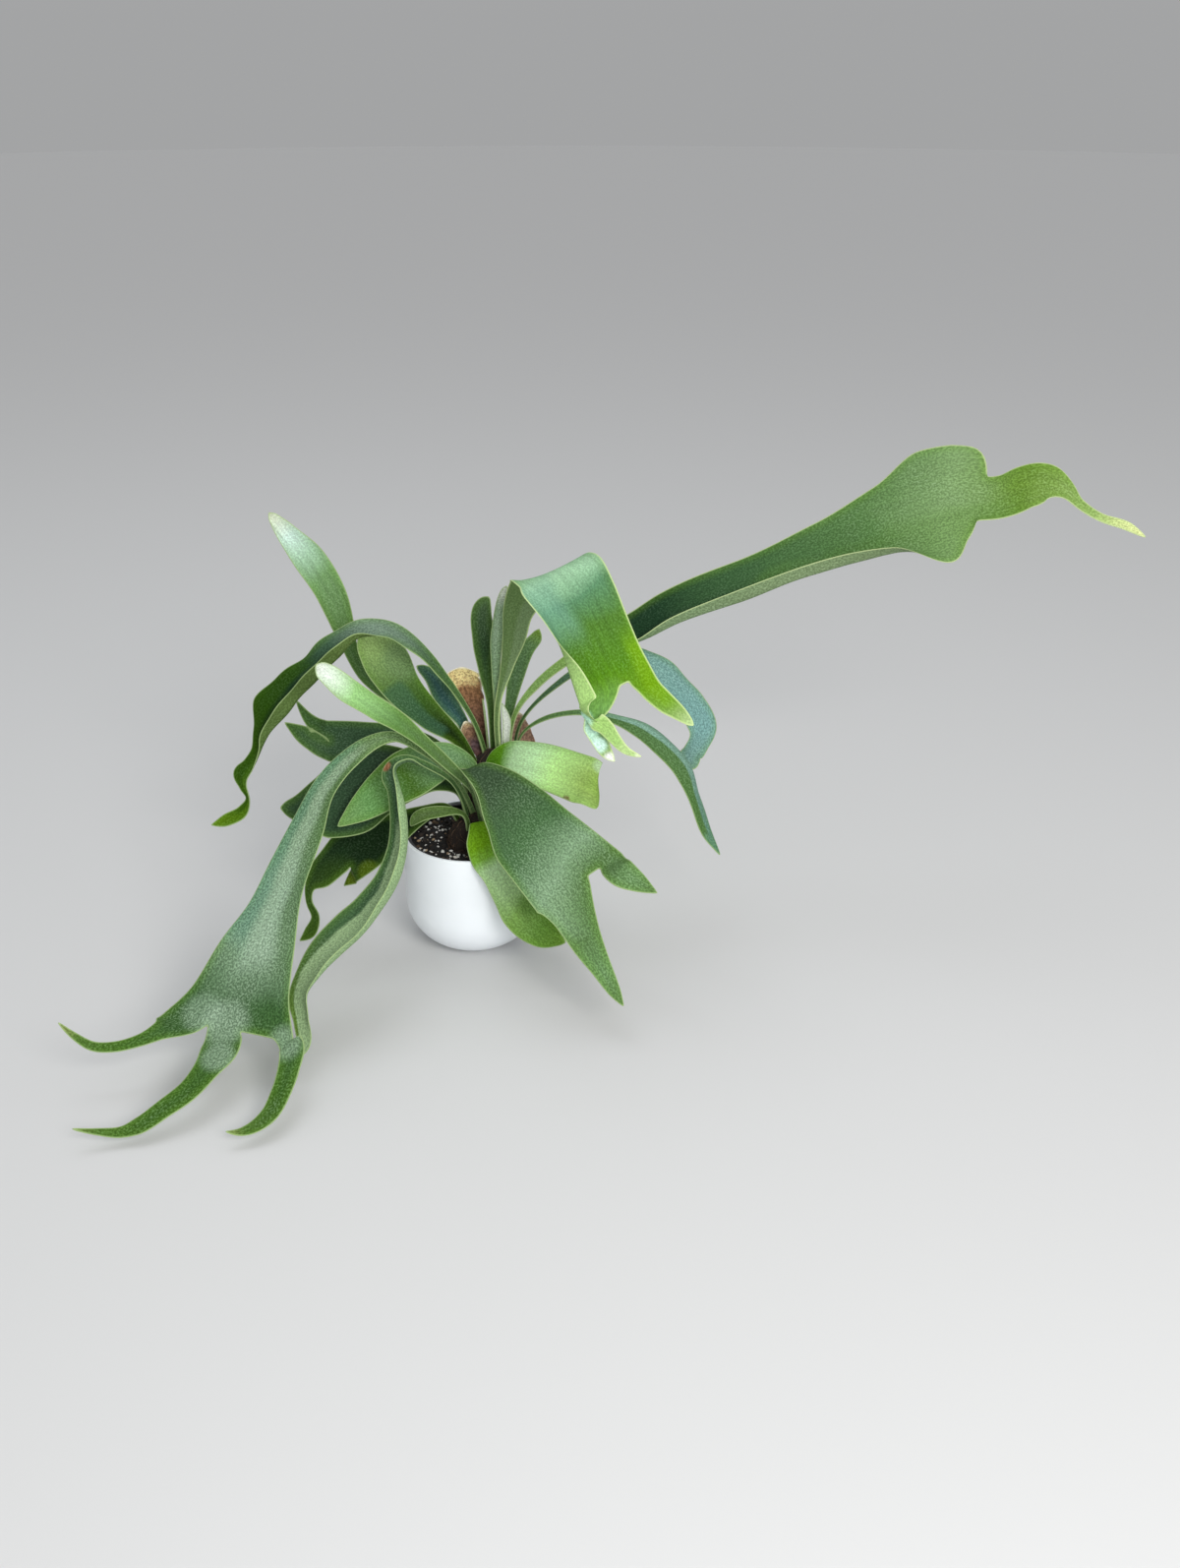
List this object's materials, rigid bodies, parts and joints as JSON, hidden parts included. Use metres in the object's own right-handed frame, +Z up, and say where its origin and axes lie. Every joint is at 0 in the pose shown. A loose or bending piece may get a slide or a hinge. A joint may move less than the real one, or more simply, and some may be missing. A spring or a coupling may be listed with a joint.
{
  "type": "potted staghorn fern",
  "caption": "Staghorn fern with long forked antler-like fronds arching from a mound of old roots in a black nursery pot, set in a round white pot that stands on a flat base.",
  "frame": {"origin": "middle of the pot's flat base, on the surface that it stands on", "axes": "+Z up, -Y towards the viewer of the picture, +X to the viewer's right, along the longest frond"},
  "size_m": [0.8807, 0.3997, 0.4405],
  "materials": {
    "frond_green": "satin leaf with fine silver felt, paler underneath",
    "frond_lime": "satin young leaf, yellow-green, paler underneath",
    "young_felt": "matt white felt over pale green",
    "shield_brown": "dry papery brown, cream along the rim",
    "white_glaze": "smooth white satin glaze",
    "black_plastic": "thin matt black plastic",
    "potting_mix": "dark damp bark mix with white perlite",
    "root_mass": "matted brown roots and old leaf bases"
  },
  "bodies": {
    "root": {"pot": "white_glaze", "nursery_pot": "black_plastic", "soil": "potting_mix", "root_mound": "root_mass", "frond_long_right": "frond_green", "frond_blue_right": "frond_green", "frond_low_right": "frond_green", "frond_pale_right": "frond_lime", "frond_arching_front": "frond_lime", "frond_left_arch": "frond_green", "frond_upper_left": "frond_green", "frond_broad_left": "frond_green", "frond_teal_left": "frond_green", "frond_white_tipped": "frond_green", "frond_large_left": "frond_green", "frond_twisted": "frond_green", "frond_bright_left": "frond_lime", "frond_dark_left": "frond_green", "frond_under_left": "frond_green", "frond_antler_left": "frond_green", "frond_narrow_front": "frond_green", "frond_forked_front": "frond_green", "frond_lower_front": "frond_lime", "frond_dark_upright": "frond_green", "frond_curled_upright": "frond_green", "frond_back_upright": "frond_green", "shield_tall": "shield_brown", "shield_curled": "shield_brown", "shield_low": "shield_brown", "young_frond_rear": "young_felt", "young_stalk_rear": "young_felt", "young_bud_front": "young_felt"}
  },
  "joints": []
}
